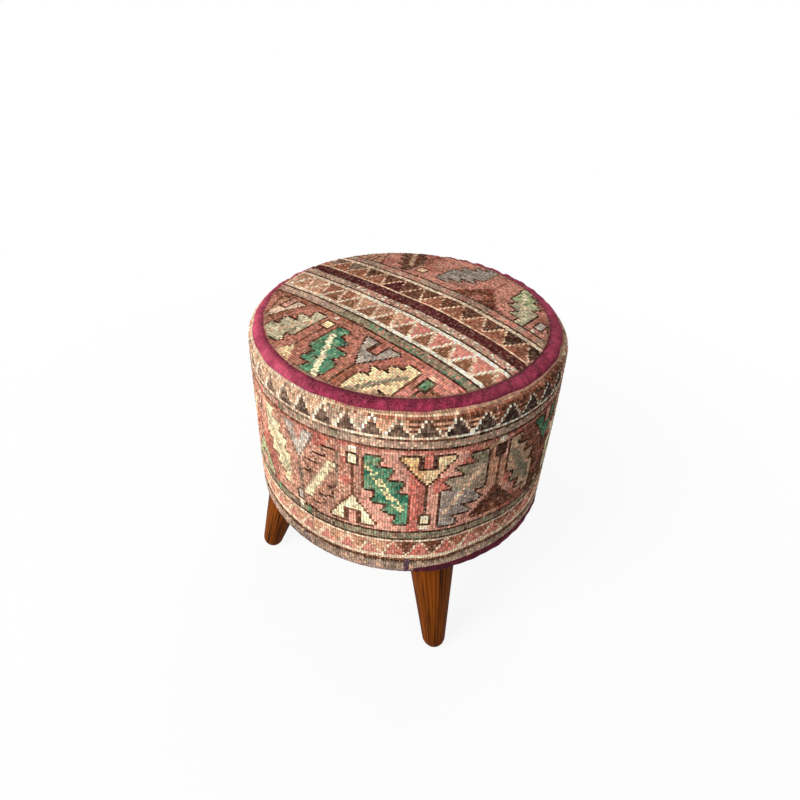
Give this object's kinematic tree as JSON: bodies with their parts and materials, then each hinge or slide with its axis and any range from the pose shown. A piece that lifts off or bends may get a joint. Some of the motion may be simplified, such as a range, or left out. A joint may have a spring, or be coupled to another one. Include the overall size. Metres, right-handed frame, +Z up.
{
  "type": "carpet pouf",
  "caption": "Round upholstered pouf with a knotted carpet cover, a cloth binding round a crowned top, and splayed turned wooden legs.",
  "frame": {"origin": "on the floor, on the drum's vertical axis, midway between the feet", "axes": "+Z up along the drum's axis; the legs stand on the diagonals between X and Y"},
  "size_m": [0.4, 0.4, 0.4042],
  "materials": {
    "knotted_carpet": "hand-knotted wool pile, worn",
    "binding_cloth": "felted wool cloth, gathered",
    "seat_foam": "cut foam",
    "wadding": "soft fibre",
    "hardboard": "pressed board",
    "plywood": "sanded, bare",
    "pine": "planed, bare",
    "zinc_steel": "zinc plated",
    "dust_cloth": "non-woven, black",
    "stained_wood": "stained brown, satin varnish"
  },
  "bodies": {
    "root": {"top_carpet": "knotted_carpet", "side_carpet": "knotted_carpet", "top_binding": "binding_cloth", "bottom_binding": "binding_cloth", "seat_foam": "seat_foam", "side_wadding": "wadding", "wall_panel": "hardboard", "base_board": "plywood", "top_board": "plywood", "frame_post_1": "pine", "frame_post_2": "pine", "frame_post_3": "pine", "frame_post_4": "pine", "post_screw_top_1": "zinc_steel", "post_screw_top_2": "zinc_steel", "post_screw_top_3": "zinc_steel", "post_screw_top_4": "zinc_steel", "post_screw_bottom_1": "zinc_steel", "post_screw_bottom_2": "zinc_steel", "post_screw_bottom_3": "zinc_steel", "post_screw_bottom_4": "zinc_steel", "tee_nut_1": "zinc_steel", "tee_nut_2": "zinc_steel", "tee_nut_3": "zinc_steel", "tee_nut_4": "zinc_steel", "leg_bolt_1": "zinc_steel", "leg_bolt_2": "zinc_steel", "leg_bolt_3": "zinc_steel", "leg_bolt_4": "zinc_steel", "dust_cover": "dust_cloth", "leg_1": "stained_wood", "leg_2": "stained_wood", "leg_3": "stained_wood", "leg_4": "stained_wood"}
  },
  "joints": []
}
